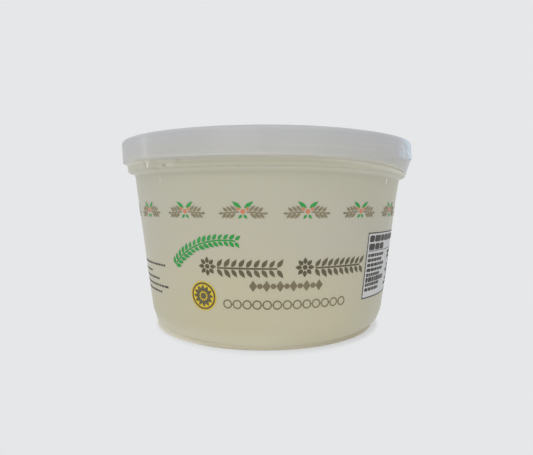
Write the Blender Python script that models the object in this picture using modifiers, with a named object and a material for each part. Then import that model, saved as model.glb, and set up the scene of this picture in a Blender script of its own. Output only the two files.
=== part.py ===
"""Round deli tub of fresh cheese, shut with its press-on lid.

Both parts are injection-moulded and turned about +Z, so each one is a profile
in (radius, height) swept round the axis. The tub stands on a low foot ring,
its wall opens outwards from a well-rounded bottom corner, and below the lid
it steps out to a shoulder. The shut tub can't be seen into, so the tub and
what it holds are one solid. The lid is a cap of even thickness with a
recessed panel, a rounded rim and a skirt that presses on over the tub's rim.

Metres, +Z up. The origin is the centre of the foot ring, on the table.
"""
import math

import bpy

MM = 0.001
COLLECTION = "deli_tub"

# Size of the whole
OVERALL_HEIGHT = 72.0 * MM
LID_RADIUS = 58.5 * MM
AIR_GAP = 0.35 * MM              # kept between the two parts

# Tub: a straight wall, given by its radius at table height and how it opens
WALL_BASE_RADIUS = 46.55 * MM
WALL_TAPER = 0.12                # radius gained for each unit of height
CORNER_TOP = 9.3 * MM            # where the bottom corner leaves the wall
CORNER_RADIUS = 18.3 * MM
FOOT_RADIUS = 45.3 * MM
FOOT_HEIGHT = 2.2 * MM
FOOT_EDGE = 1.2 * MM             # rounding of the foot's lower edge
FOOT_WIDTH = 4.0 * MM
FOOT_GROOVE = 0.4 * MM           # shadow line between the corner and the foot
BASE_RECESS = 1.0 * MM
SHOULDER_RADIUS = 56.4 * MM
SHOULDER_BOTTOM = 60.1 * MM
SHOULDER_TOP = 62.5 * MM
SHOULDER_EDGE = 1.2 * MM
SHOULDER_UNDERCUT = 0.9 * MM     # height of the slope back to the wall
RIM_WIDTH = 2.5 * MM

# Lid
LID_THICKNESS = 0.95 * MM
LID_CROWN_EDGE = 1.2 * MM        # rounding of the rim's outer edge
LID_CROWN_WIDTH = 4.9 * MM
LID_INNER_EDGE = 0.8 * MM
LID_RECESS = 2.6 * MM            # depth of the panel below the rim
LID_RECESS_SLOPE = 1.2 * MM      # how far the recess wall leans in
SKIRT_BOTTOM = 63.6 * MM
SKIRT_WAIST = 0.3 * MM           # the skirt draws in by this above its lip
LIP_HEIGHT = 1.6 * MM
LIP_EDGE = 0.35 * MM
BEAD_RADIUS = 42.0 * MM          # stacking bead on the panel
BEAD_WIDTH = 3.6 * MM
BEAD_HEIGHT = 0.5 * MM

# Facets round the axis, and the angle past which an edge is a crease
SEGMENTS = 72
CREASE_ANGLE = math.radians(32)


def wall_radius(height):
    """Outer radius of the tub's straight wall at a height above the table."""
    return WALL_BASE_RADIUS + WALL_TAPER * height


def arc(centre, radius, start, end, steps):
    """Points of an arc in (radius, height); angles in radians from outwards."""
    points = []
    for step in range(steps + 1):
        angle = start + (end - start) * step / steps
        points.append((centre[0] + radius * math.cos(angle),
                       centre[1] + radius * math.sin(angle)))
    return points


def lid_profile():
    """Closed section of the lid: over the top, down the skirt, back inside."""
    panel_top = OVERALL_HEIGHT - LID_RECESS
    crown_inner = LID_RADIUS - LID_CROWN_WIDTH
    bead_in = BEAD_RADIUS - BEAD_WIDTH / 2
    bead_out = BEAD_RADIUS + BEAD_WIDTH / 2

    top = [
        (0.0, panel_top),
        (bead_in, panel_top),
        (bead_in + BEAD_HEIGHT, panel_top + BEAD_HEIGHT),
        (bead_out - BEAD_HEIGHT, panel_top + BEAD_HEIGHT),
        (bead_out, panel_top),
        (crown_inner - LID_RECESS_SLOPE, panel_top),
        (crown_inner - LID_RECESS_SLOPE / 2, panel_top + BEAD_HEIGHT),
    ]
    inner_edge = arc((crown_inner + LID_INNER_EDGE, OVERALL_HEIGHT - LID_INNER_EDGE),
                     LID_INNER_EDGE, math.pi, math.pi / 2, 3)
    outer_edge = arc((LID_RADIUS - LID_CROWN_EDGE, OVERALL_HEIGHT - LID_CROWN_EDGE),
                     LID_CROWN_EDGE, math.pi / 2, 0.0, 5)
    skirt = [
        (LID_RADIUS - SKIRT_WAIST, SKIRT_BOTTOM + 2 * LIP_HEIGHT),
        (LID_RADIUS - SKIRT_WAIST, SKIRT_BOTTOM + LIP_HEIGHT + LIP_EDGE),
        (LID_RADIUS, SKIRT_BOTTOM + LIP_HEIGHT - LIP_EDGE),
    ]
    lip = arc((LID_RADIUS - LIP_EDGE, SKIRT_BOTTOM + LIP_EDGE), LIP_EDGE,
              0.0, -math.pi / 2, 2)

    skirt_inner = LID_RADIUS - LID_THICKNESS
    crown_under = OVERALL_HEIGHT - LID_THICKNESS
    recess_under = crown_inner + LID_THICKNESS / 2
    inside = [
        (skirt_inner, SKIRT_BOTTOM),
        (skirt_inner, crown_under - LIP_EDGE),
        (skirt_inner - LIP_EDGE, crown_under),
        (recess_under + LIP_EDGE, crown_under),
        (recess_under, crown_under - LIP_EDGE),
        (crown_inner - LID_RECESS_SLOPE / 2, panel_top - LID_THICKNESS),
        (0.0, panel_top - LID_THICKNESS),
    ]
    return top + inner_edge + outer_edge + skirt + lip + inside


def tub_profile():
    """Section of the tub and its contents: rim, shoulder, wall, corner, foot."""
    fill_top = OVERALL_HEIGHT - LID_RECESS - LID_THICKNESS - AIR_GAP
    rim_outer = LID_RADIUS - LID_THICKNESS - AIR_GAP
    rim_half = RIM_WIDTH / 2
    rim_centre = rim_outer - rim_half
    rim_round = OVERALL_HEIGHT - LID_THICKNESS - AIR_GAP - rim_half

    contents = [(0.0, fill_top), (rim_outer - RIM_WIDTH, fill_top)]
    rim = arc((rim_centre, rim_round), rim_half, math.pi, 0.0, 6)
    shoulder = [
        (rim_outer, SHOULDER_TOP + rim_outer - SHOULDER_RADIUS),
        (SHOULDER_RADIUS, SHOULDER_TOP),
    ]
    shoulder_edge = arc((SHOULDER_RADIUS - SHOULDER_EDGE, SHOULDER_BOTTOM + SHOULDER_EDGE),
                        SHOULDER_EDGE, 0.0, -math.pi / 2, 4)
    wall_top = SHOULDER_BOTTOM - SHOULDER_UNDERCUT

    lean = math.atan(WALL_TAPER)
    corner_centre = (wall_radius(CORNER_TOP) - CORNER_RADIUS * math.cos(lean),
                     CORNER_TOP + CORNER_RADIUS * math.sin(lean))
    corner_end = -math.asin((corner_centre[1] - FOOT_HEIGHT) / CORNER_RADIUS)
    corner = arc(corner_centre, CORNER_RADIUS, -lean, corner_end, 8)

    groove = [
        (FOOT_RADIUS - FOOT_GROOVE, FOOT_HEIGHT - FOOT_GROOVE / 2),
        (FOOT_RADIUS, FOOT_HEIGHT - FOOT_GROOVE),
    ]
    foot_edge = arc((FOOT_RADIUS - FOOT_EDGE, FOOT_EDGE), FOOT_EDGE,
                    0.0, -math.pi / 2, 4)
    foot_inner = FOOT_RADIUS - FOOT_WIDTH
    base = [
        (foot_inner, 0.0),
        (foot_inner - BASE_RECESS, BASE_RECESS),
        (0.0, BASE_RECESS),
    ]
    return (contents + rim + shoulder + shoulder_edge
            + [(wall_radius(wall_top), wall_top)] + corner + groove + foot_edge + base)


def plastic(name, colour, roughness):
    """Moulded plastic: a Principled material of one linear colour."""
    material = bpy.data.materials.new(name)
    material.use_nodes = True
    shader = material.node_tree.nodes["Principled BSDF"]
    shader.inputs["Base Color"].default_value = (*colour, 1.0)
    shader.inputs["Roughness"].default_value = roughness
    shader.inputs["Metallic"].default_value = 0.0
    return material


def turned(name, profile, material, collection):
    """Turn an open section about +Z into one closed, smooth-shaded solid."""
    outline = bpy.data.meshes.new(name + "_profile")
    edges = [(index, index + 1) for index in range(len(profile) - 1)]
    outline.from_pydata([(radius, 0.0, height) for radius, height in profile], edges, [])
    blank = bpy.data.objects.new(name + "_blank", outline)
    collection.objects.link(blank)

    screw = blank.modifiers.new("turn", "SCREW")
    screw.axis = "Z"
    screw.angle = 2 * math.pi
    screw.steps = SEGMENTS
    screw.render_steps = SEGMENTS
    screw.use_merge_vertices = True
    screw.merge_threshold = 0.00001

    graph = bpy.context.evaluated_depsgraph_get()
    mesh = bpy.data.meshes.new_from_object(blank.evaluated_get(graph))
    bpy.data.objects.remove(blank)
    bpy.data.meshes.remove(outline)

    mesh.name = name
    mesh.shade_smooth()
    mesh.set_sharp_from_angle(angle=CREASE_ANGLE)
    mesh.materials.clear()
    mesh.materials.append(material)
    solid = bpy.data.objects.new(name, mesh)
    collection.objects.link(solid)
    return solid


def build():
    for obj in list(bpy.data.objects):
        bpy.data.objects.remove(obj)
    collection = bpy.data.collections.new(COLLECTION)
    bpy.context.scene.collection.children.link(collection)

    milky = plastic("milky_polypropylene", (0.56, 0.545, 0.43), 0.38)
    pale = plastic("pale_polyethylene", (0.60, 0.60, 0.59), 0.42)
    turned("tub", tub_profile(), milky, collection)
    turned("lid", lid_profile(), pale, collection)


build()
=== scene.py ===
# %% [markdown]
# # A shut deli tub of fresh cheese
# The object is a round tub of milky plastic with a pale lid pressed onto it. Its wall
# carries a thin print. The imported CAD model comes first, because it fixes every size
# and place. Everything after it is a dressed skin that stays inside that model's box.

import math
import random

import bpy
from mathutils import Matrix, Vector


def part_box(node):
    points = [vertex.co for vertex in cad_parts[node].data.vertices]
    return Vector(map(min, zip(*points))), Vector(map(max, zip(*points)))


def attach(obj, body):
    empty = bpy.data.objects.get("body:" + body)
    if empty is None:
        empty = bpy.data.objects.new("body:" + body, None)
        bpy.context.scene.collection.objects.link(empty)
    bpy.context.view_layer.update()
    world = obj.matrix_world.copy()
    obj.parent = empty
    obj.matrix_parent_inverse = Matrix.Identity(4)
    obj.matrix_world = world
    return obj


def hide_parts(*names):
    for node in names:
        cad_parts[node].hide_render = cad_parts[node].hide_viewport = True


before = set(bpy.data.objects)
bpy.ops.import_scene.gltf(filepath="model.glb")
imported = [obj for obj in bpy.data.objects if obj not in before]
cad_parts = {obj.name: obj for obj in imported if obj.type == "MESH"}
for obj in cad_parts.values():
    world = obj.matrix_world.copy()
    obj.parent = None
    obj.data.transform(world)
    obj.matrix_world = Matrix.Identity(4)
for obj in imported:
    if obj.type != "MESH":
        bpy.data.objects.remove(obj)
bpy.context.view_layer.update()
TUB_LOW, TUB_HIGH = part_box("tub")
LID_LOW, LID_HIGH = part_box("lid")
MM = 0.001
LID_RADIUS = LID_HIGH.x
LID_TOP = LID_HIGH.z
SKIRT_BOTTOM = LID_LOW.z
print("tub is", round(TUB_HIGH.x * 2 / MM, 1), "mm across,",
      "lid", round(LID_RADIUS * 2 / MM, 1), "mm, top at", round(LID_TOP / MM, 1), "mm")

# %% [markdown]
# ## Four small helpers
# Colours are written as the hex values that a paint chart would give. A shader wants
# linear light, so one function converts them. A node graph is easier to read when a
# node, its settings and its links are made in one line, so `add` does that for shader
# and geometry nodes alike. `new_tree` starts a Geometry Nodes tree with named inputs,
# and `grow` runs trees on a mesh and keeps what comes out as a plain object.

# %% Colour, nodes and trees


def colour(code):
    """Linear RGBA of an sRGB hex colour."""
    channels = [int(code[i:i + 2], 16) / 255 for i in (1, 3, 5)]
    linear = [c / 12.92 if c <= 0.04045 else ((c + 0.055) / 1.055) ** 2.4 for c in channels]
    return (*linear, 1.0)


def add(tree, kind, sockets=None, **settings):
    """Add a node. Each socket, by name or number, gets a value or a link."""
    node = tree.nodes.new(kind)
    for name, value in settings.items():
        setattr(node, name, value)
    for name, value in (sockets or {}).items():
        if isinstance(value, bpy.types.Node):
            value = value.outputs[0]
        if isinstance(value, bpy.types.NodeSocket):
            tree.links.new(value, node.inputs[name])
        else:
            node.inputs[name].default_value = value
    return node


def new_tree(name, **inputs):
    """A Geometry Nodes tree with a geometry input and the named ones; a value sets the type."""
    kinds = {float: "NodeSocketFloat", int: "NodeSocketInt",
             "object": "NodeSocketObject", "material": "NodeSocketMaterial"}
    tree = bpy.data.node_groups.new(name, "GeometryNodeTree")
    tree.interface.new_socket("Geometry", in_out="INPUT", socket_type="NodeSocketGeometry")
    tree.interface.new_socket("Geometry", in_out="OUTPUT", socket_type="NodeSocketGeometry")
    for label, value in inputs.items():
        kind = kinds[value] if isinstance(value, str) else kinds[type(value)]
        socket = tree.interface.new_socket(label, in_out="INPUT", socket_type=kind)
        if not isinstance(value, str):
            socket.default_value = value
    return tree, add(tree, "NodeGroupInput")


def finish_tree(tree, given, geometry):
    """Every tree ends the same way: real geometry, with its material on."""
    real = add(tree, "GeometryNodeRealizeInstances", {0: geometry})
    dressed = add(tree, "GeometryNodeSetMaterial",
                  {"Geometry": real, "Material": given.outputs["material"]})
    add(tree, "NodeGroupOutput", {0: dressed})
    return tree


def grow(name, mesh, *steps):
    """Run each (tree, values) on the mesh in turn and return the result as a plain object."""
    carrier = bpy.data.objects.new(name + "_carrier", mesh)
    bpy.context.scene.collection.objects.link(carrier)
    for tree, values in steps:
        modifier = carrier.modifiers.new(tree.name, "NODES")
        modifier.node_group = tree
        for item in tree.interface.items_tree:
            if item.in_out == "INPUT" and item.name in values:
                modifier[item.identifier] = values[item.name]
    graph = bpy.context.evaluated_depsgraph_get()
    grown = bpy.data.meshes.new_from_object(carrier.evaluated_get(graph))
    bpy.data.objects.remove(carrier)
    grown.name = name
    piece = bpy.data.objects.new(name, grown)
    bpy.context.scene.collection.objects.link(piece)
    print(name, "has", len(grown.polygons), "faces")
    return piece


def calculator(tree):
    """A short way to add a Math node to this tree."""
    def calculate(operation, first, second=0.0):
        return add(tree, "ShaderNodeMath", {0: first, 1: second}, operation=operation)
    return calculate


def shade(piece, crease_degrees):
    """Smooth shading that breaks where two faces meet at more than this angle."""
    piece.data.shade_smooth()
    piece.data.set_sharp_from_angle(angle=math.radians(crease_degrees))


# %% [markdown]
# ## Milky polypropylene
# The tub is injection-moulded polypropylene, left unpigmented, with whey and cheese
# right behind a wall less than a millimetre thick. The eye reads that as one soft,
# slightly cloudy colour: yellower low down where the whey is deep, greyer near the
# lid, and whiter where the cheese lies against the wall. A painted texture could carry
# it, but a few broad gradients on Object coordinates follow the same reasons. The
# mould leaves a satin skin, which is roughness with a fine bump. Handling has left a
# nick and a smudge. The colour also holds painted light and shade: lighter hollows
# under the lid and the shoulder, greyer sides, a foot shaded towards the right, the
# nick's painted shadow and highlight, and a few painted glints. Every mark in the list
# is one short stroke between two places.

# %% Material of the tub


def new_material(name):
    """An empty Principled material, its tree and its shader."""
    material = bpy.data.materials.new(name)
    material.use_nodes = True
    return material, material.node_tree, material.node_tree.nodes["Principled BSDF"]


def ramp(tree, factor, stops, smooth=True):
    """Colour ramp from (place, hex) pairs."""
    node = add(tree, "ShaderNodeValToRGB", {0: factor})
    node.color_ramp.interpolation = "EASE" if smooth else "LINEAR"
    for place, _ in stops[2:]:
        node.color_ramp.elements.new(place)
    for element, (place, code) in zip(node.color_ramp.elements, stops):
        element.position = place
        element.color = colour(code)
    return node


def blend(tree, factor, first, second, kind="MIX"):
    """Mix two colours, given as sockets, nodes or hex codes."""
    first, second = [colour(c) if isinstance(c, str) else c for c in (first, second)]
    return add(tree, "ShaderNodeMix", {0: factor, 6: first, 7: second},
               data_type="RGBA", blend_type=kind).outputs[2]


def between(tree, value, low, high, start=0.0, end=1.0):
    """Smoothly turn low..high of a value into start..end."""
    return add(tree, "ShaderNodeMapRange", {0: value, 1: low, 2: high, 3: start, 4: end},
               interpolation_type="SMOOTHSTEP").outputs[0]


def noise(tree, place, size_mm, detail=2.0):
    """Noise whose blotches are about this many millimetres across."""
    return add(tree, "ShaderNodeTexNoise",
               {"Vector": place, "Scale": 1000 / size_mm, "Detail": detail}).outputs[0]


def stroke(tree, place, start, end, half, strength):
    """How much a mark of this half width, drawn from start to end, covers each place."""
    along = Vector(end) - Vector(start)
    offset = add(tree, "ShaderNodeVectorMath", {0: place, 1: start}, operation="SUBTRACT")
    reach = add(tree, "ShaderNodeVectorMath", {0: offset, 1: along}, operation="DOT_PRODUCT")
    share = add(tree, "ShaderNodeMath",
                {0: reach.outputs["Value"], 1: 1 / max(along.length_squared, 1e-12)},
                operation="MULTIPLY", use_clamp=True)
    nearest = add(tree, "ShaderNodeVectorMath", {0: along, "Scale": share}, operation="SCALE")
    gap = add(tree, "ShaderNodeVectorMath", {0: offset, 1: nearest}, operation="DISTANCE")
    return between(tree, gap.outputs["Value"], half * 0.3, half * 1.4, strength, 0.0)


def around(degrees, radius, height):
    """A place on the tub, by angle from the front towards +X, radius and height in mm."""
    angle = math.radians(degrees)
    return (radius * math.sin(angle) * MM, -radius * math.cos(angle) * MM, height * MM)


# (from, to, half width, colour, strength), each end as (degrees, radius, height)
SMUDGES_AND_PAINTED_LIGHT = [
    # A broad darker patch, and a lighter hazy patch about the smudge
    ((-41.5, 56.4, 62.6), (-42.5, 56.4, 61.2), 2.6 * MM, "#A5A28B", 0.35),
    ((-35.2, 56.4, 61.6), (-33.6, 56.4, 61.4), 2.2 * MM, "#C2BFAF", 0.6),
    # The nick: a painted shadow line and a painted highlight line
    ((-47.9, 56.4, 63.2), (-46.3, 56.4, 60.4), 0.35 * MM, "#9A9780", 0.6),
    ((-44.8, 56.4, 63.0), (-45.9, 56.4, 60.4), 0.30 * MM, "#E4E3DC", 0.9),
    # The smudge and a fainter second spot
    ((-36.5, 56.4, 61.2), (-35.9, 56.4, 61.1), 0.6 * MM, "#8C886D", 0.65),
    ((-30.2, 56.4, 62.9), (-29.8, 56.4, 62.7), 0.7 * MM, "#98957C", 0.5),
    # Painted glints on the wall and on the shoulder's edge
    ((-42.5, 54.0, 58.9), (-42.5, 53.3, 56.4), 0.30 * MM, "#C9C7B8", 0.7),
    ((51.4, 53.5, 57.4), (51.4, 53.3, 55.8), 0.35 * MM, "#DEDDD6", 0.8),
    ((51.9, 56.1, 59.4), (52.4, 56.1, 59.4), 0.45 * MM, "#DEDDD6", 0.7),
]


def milky_polypropylene():
    material, tree, shader = new_material("milky_polypropylene")
    place = add(tree, "ShaderNodeTexCoord").outputs["Object"]
    split = add(tree, "ShaderNodeSeparateXYZ", {0: place})
    height = between(tree, split.outputs[2], 0.0, 0.072)
    depth = ramp(tree, height, [(0.0, "#B9B398"), (0.25, "#B9B39A"), (0.5, "#B6B19E"),
                                (0.85, "#B3B09E")])
    cloud = noise(tree, place, 30.0)
    clouded = blend(tree, between(tree, cloud, 0.35, 0.75, 0.0, 0.2), depth, "#B8B5A6")
    resting = add(tree, "ShaderNodeVectorMath", {0: place, 1: (0.021, -0.047, 0.039)},
                  operation="DISTANCE").outputs["Value"]
    cheese = between(tree, resting, 0.004, 0.020, 0.35, 0.0)
    rested = blend(tree, cheese, clouded, "#B8B4A9")

    # Painted light: the colour is lighter under the shoulder, just below the lid's lip, below the fold at the right, at
    # the bottom corner and in the foot's groove, against the shade that falls in these hollows
    made = add(tree, "ShaderNodeAttribute", attribute_name="section_height").outputs["Fac"]
    x = split.outputs[0]
    calculate = calculator(tree)
    painted_light_under_shoulder = calculate("MULTIPLY", between(tree, made, 0.0584, 0.0600, 0.0, 0.37),
                      between(tree, made, 0.0603, 0.0608, 1.0, 0.0))
    sunk = calculate("MULTIPLY", calculate("POWER", calculate("MAXIMUM", x), 2.0), 0.75)
    painted_light_under_lid = between(tree, calculate("ADD", made, sunk), 0.0616, 0.0630, 0.0, 0.52)
    painted_light_under_fold = calculate("MULTIPLY", between(tree, made, 0.0611, 0.0619),
                           between(tree, x, 0.024, 0.044, 0.0, 0.78))
    painted_light_under_lid = calculate("MAXIMUM", painted_light_under_lid, painted_light_under_fold)
    # Painted light at the bottom corner and in the foot's groove, against the shade there
    corner = calculate("MULTIPLY", between(tree, made, 0.0085, 0.0022, 0.0, 0.22),
                       between(tree, x, -0.005, 0.020, 1.0, 0.0))
    deep = calculate("MAXIMUM", between(tree, x, -0.036, -0.014, 0.1, 0.7),
                     between(tree, x, -0.040, -0.034, 0.75, 0.0))
    groove = calculate("MULTIPLY", between(tree, made, 0.0023, 0.0020), deep)
    glow = calculate("MAXIMUM", calculate("MAXIMUM", painted_light_under_shoulder, painted_light_under_lid),
                     calculate("MAXIMUM", corner, groove))

    # Painted shade: towards both sides, most of all at the right away from the front lamps, the wall is painted greyer
    # and cooler
    high = calculate("MAXIMUM", between(tree, made, 0.040, 0.053, 1.0, 0.0),
                     between(tree, made, 0.0575, 0.0592))
    painted_shade_right = calculate("MULTIPLY", between(tree, x, 0.018, 0.045, 0.0, 0.3), high)
    painted_shade_sides = calculate("MAXIMUM", painted_shade_right, between(tree, x, -0.022, -0.050, 0.0, 0.22))
    painted_cool_shade = blend(tree, between(tree, made, 0.0575, 0.0592), "#A6A8A0", "#B9BAB5")
    lit = blend(tree, glow, blend(tree, painted_shade_sides, rested, painted_cool_shade), "#E2DFCE")

    # The foot has its own paler tone, with painted shade and light: browner towards the right, where it lies in shade,
    # beige at the left, and lighter at its toe on the left
    foot = between(tree, made, 0.0018, 0.0021, 1.0, 0.0)
    beige = blend(tree, between(tree, x, -0.040, -0.015), "#C6C0AD", "#BAB29A")
    painted_shade_foot = blend(tree, between(tree, x, 0.005, 0.030), beige, "#B2AA92")
    painted_light_toe = calculate("MULTIPLY", between(tree, made, 0.0012, 0.0003),
                    between(tree, x, -0.016, -0.028, 0.0, 0.8))
    base = blend(tree, foot, lit, blend(tree, painted_light_toe, painted_shade_foot, "#DDD8C8"))

    # A nick and a smudge where the tub was handled, a darker and a lighter patch, and painted light: a painted shadow
    # and a painted highlight along the nick, and painted glints on the wall and the shoulder
    for start, end, half, tint, strength in SMUDGES_AND_PAINTED_LIGHT:
        mark = stroke(tree, place, around(*start), around(*end), half, strength)
        base = blend(tree, mark, base, tint)
    tree.links.new(base, shader.inputs["Base Color"])

    # A satin mould skin: grain of about 0.5 mm, and faint flow marks drawn up the wall
    grain = noise(tree, place, 0.5)
    stretched = add(tree, "ShaderNodeMapping", {0: place, 3: (1.0, 1.0, 0.08)})
    flow = noise(tree, stretched.outputs[0], 4.0)
    skin = add(tree, "ShaderNodeMath", {0: grain, 1: flow}, operation="ADD")
    bump = add(tree, "ShaderNodeBump", {"Strength": 0.15, "Distance": 0.00003, "Height": skin})
    tree.links.new(bump.outputs[0], shader.inputs["Normal"])
    tree.links.new(between(tree, flow, 0.3, 0.7, 0.34, 0.42), shader.inputs["Roughness"])
    shader.inputs["IOR"].default_value = 1.49
    shader.inputs["Subsurface Weight"].default_value = 0.2
    shader.inputs["Subsurface Radius"].default_value = (1.0, 0.9, 0.6)
    shader.inputs["Subsurface Scale"].default_value = 0.006
    shader.inputs["Specular IOR Level"].default_value = 0.15
    shader.inputs["Coat Weight"].default_value = 0.08
    shader.inputs["Coat Roughness"].default_value = 0.12
    return material


TUB_PLASTIC = milky_polypropylene()

# %% [markdown]
# ## Pale polyethylene
# The lid is softer low-density polyethylene, a little whiter and cooler than the tub
# because nothing lies behind it. Its skirt shows faint rings, left by the turned mould,
# and it picks up some of the tub's warmth near its lip, where the rolled-in lip is also
# painted lighter against the shade under it. Its left end is painted darker, as painted
# shade. The crushed part of the skirt at the right carries pale bluish streaks along
# its creases, which are painted highlights of the cool light there.

# %% Material of the lid


# The skirt was crushed at the right. Painted highlights of the cool light there run as pale bluish streaks along its
# creases, beside one broad darker stroke
PAINTED_CREASE_STREAKS = [
    ((48.0, 58.2, 68.5), (48.6, 58.2, 66.0), 2.2 * MM, "#A3A4A4", 0.25),
    ((56.0, 57.9, 71.0), (62.0, 57.8, 70.2), 1.1 * MM, "#B7C4CC", 0.6),
    ((50.5, 58.2, 66.2), (55.5, 58.2, 65.3), 1.1 * MM, "#B4BEC4", 0.45),
    ((52.6, 58.1, 68.7), (56.0, 58.1, 66.8), 0.40 * MM, "#D6DDE2", 0.65),
    ((54.0, 58.2, 67.0), (55.5, 58.2, 64.9), 0.35 * MM, "#D0D9DE", 0.45),
    ((60.0, 57.9, 70.2), (64.5, 57.9, 68.3), 0.55 * MM, "#DCE4EA", 0.65),
    ((59.5, 58.2, 67.4), (66.0, 58.1, 65.9), 0.55 * MM, "#D8E0E6", 0.55),
]


def pale_polyethylene():
    material, tree, shader = new_material("pale_polyethylene")
    place = add(tree, "ShaderNodeTexCoord").outputs["Object"]
    made = add(tree, "ShaderNodeAttribute", attribute_name="section_height").outputs["Fac"]
    height = add(tree, "ShaderNodeMapRange", {0: made, 1: 0.063, 2: LID_TOP})
    # Painted light: the rolled-in lip at the bottom is painted lighter, against the shade under it; just above it the
    # skirt takes a little of the tub's warmth
    shell_and_painted_lip_light = ramp(tree, height, [(0.0, "#CBC8BD"), (0.04, "#B4B3AC"), (0.12, "#AFAEAA"),
                                (1.0, "#AFAFB1")])
    flattened = add(tree, "ShaderNodeMapping", {0: place, 3: (0.03, 0.03, 1.0)})
    streak = noise(tree, flattened.outputs[0], 1.2)
    streaked = blend(tree, between(tree, streak, 0.45, 0.75, 0.0, 0.3), shell_and_painted_lip_light, "#BBBCBC")
    smudge = noise(tree, place, 9.0, 4.0)
    base = blend(tree, between(tree, smudge, 0.5, 0.8, 0.0, 0.3), streaked, "#ABABA8")
    x = add(tree, "ShaderNodeSeparateXYZ", {0: place}).outputs[0]
    # Painted shade: the lid's left end is painted darker and greyer
    base = blend(tree, between(tree, x, -0.044, -0.054, 0.0, 0.4), base, "#A0A1A2")
    # Painted highlights along the creases at the right, and one darker stroke
    for start, end, half, tint, strength in PAINTED_CREASE_STREAKS:
        mark = stroke(tree, place, around(*start), around(*end), half, strength)
        base = blend(tree, mark, base, tint)
    tree.links.new(base, shader.inputs["Base Color"])

    grain = noise(tree, place, 0.6)
    skin = add(tree, "ShaderNodeMath", {0: grain, 1: streak}, operation="ADD")
    bump = add(tree, "ShaderNodeBump", {"Strength": 0.15, "Distance": 0.00003, "Height": skin})
    tree.links.new(bump.outputs[0], shader.inputs["Normal"])
    tree.links.new(between(tree, streak, 0.3, 0.7, 0.33, 0.42), shader.inputs["Roughness"])
    shader.inputs["IOR"].default_value = 1.51
    shader.inputs["Subsurface Weight"].default_value = 0.15
    shader.inputs["Subsurface Radius"].default_value = (1.0, 0.95, 0.9)
    shader.inputs["Subsurface Scale"].default_value = 0.003
    shader.inputs["Specular IOR Level"].default_value = 0.15
    shader.inputs["Coat Weight"].default_value = 0.25
    shader.inputs["Coat Roughness"].default_value = 0.15
    return material


LID_PLASTIC = pale_polyethylene()

# %% [markdown]
# ## Turning a profile
# Both parts were made in round moulds, so each is one profile turned about the
# upright axis. Spin or the Screw modifier would do it. Here Geometry Nodes bend a
# flat grid instead: every row of the grid takes its radius and height from one point
# of the profile, and every column takes its angle. The last column meets the first,
# and the rows on the axis shrink to a pole, so Merge by Distance closes the skin.

# %% Tree that turns a profile


def turning_tree():
    tree, given = new_tree("turned", profile="object", points=2, columns=360,
                           material="material")
    grid = add(tree, "GeometryNodeMeshGrid",
               {"Size X": 1.0, "Size Y": 1.0, "Vertices X": given.outputs["points"],
                "Vertices Y": given.outputs["columns"]})
    number = add(tree, "GeometryNodeInputIndex")
    row = add(tree, "FunctionNodeIntegerMath",
              {0: number, 1: given.outputs["columns"]}, operation="DIVIDE_FLOOR")
    column = add(tree, "FunctionNodeIntegerMath",
                 {0: number, 1: given.outputs["columns"]}, operation="MODULO")
    last = add(tree, "ShaderNodeMath", {0: given.outputs["columns"], 1: 1.0},
               operation="SUBTRACT")
    share = add(tree, "ShaderNodeMath", {0: column, 1: last}, operation="DIVIDE")
    angle = add(tree, "ShaderNodeMath", {0: share, 1: 2 * math.pi}, operation="MULTIPLY")

    outline = add(tree, "GeometryNodeObjectInfo", {"Object": given.outputs["profile"]})
    position = add(tree, "GeometryNodeInputPosition")
    sample = add(tree, "GeometryNodeSampleIndex",
                 {"Geometry": outline.outputs["Geometry"], "Value": position, "Index": row},
                 data_type="FLOAT_VECTOR")
    section = add(tree, "ShaderNodeSeparateXYZ", {0: sample})
    sine = add(tree, "ShaderNodeMath", {0: angle}, operation="SINE")
    cosine = add(tree, "ShaderNodeMath", {0: angle}, operation="COSINE")
    x = add(tree, "ShaderNodeMath", {0: section.outputs[0], 1: sine}, operation="MULTIPLY")
    y = add(tree, "ShaderNodeMath", {0: section.outputs[0], 1: cosine}, operation="MULTIPLY")
    turned = add(tree, "ShaderNodeCombineXYZ", {0: x, 1: y, 2: section.outputs[2]})

    marked = add(tree, "GeometryNodeStoreNamedAttribute",
                 {"Geometry": grid, "Name": "section_height", "Value": section.outputs[2]},
                 data_type="FLOAT", domain="POINT")
    bent = add(tree, "GeometryNodeSetPosition", {"Geometry": marked, "Position": turned})
    closed = add(tree, "GeometryNodeMergeByDistance", {"Geometry": bent, "Distance": 1e-6})
    return finish_tree(tree, given, closed)


TURNED = turning_tree()
COLUMNS = 385


def turn(name, profile, material, *more):
    """Turn (radius, height) points into a closed shell, then run any more trees on it."""
    line = bpy.data.meshes.new(name + "_profile")
    line.from_pydata([(radius, 0.0, height) for radius, height in profile], [], [])
    holder = bpy.data.objects.new(name + "_profile", line)
    bpy.context.scene.collection.objects.link(holder)
    values = {"profile": holder, "points": len(profile), "columns": COLUMNS,
              "material": material}
    piece = grow(name, bpy.data.meshes.new(name + "_start"), (TURNED, values), *more)
    bpy.data.objects.remove(holder)
    return piece


# %% [markdown]
# ## The tub
# From the table up: a flat foot ring, a shadow line, a well-rounded bottom corner, a
# straight wall that opens by 0.12 mm for each millimetre of height, and a step out to
# the shoulder and rim that the lid grips. The sizes follow the CAD model, trimmed by a
# few tenths of a millimetre at the foot and shoulder. Every rounding has more points,
# because light slides along a rounding in a way that a few facets can't show.

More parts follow.
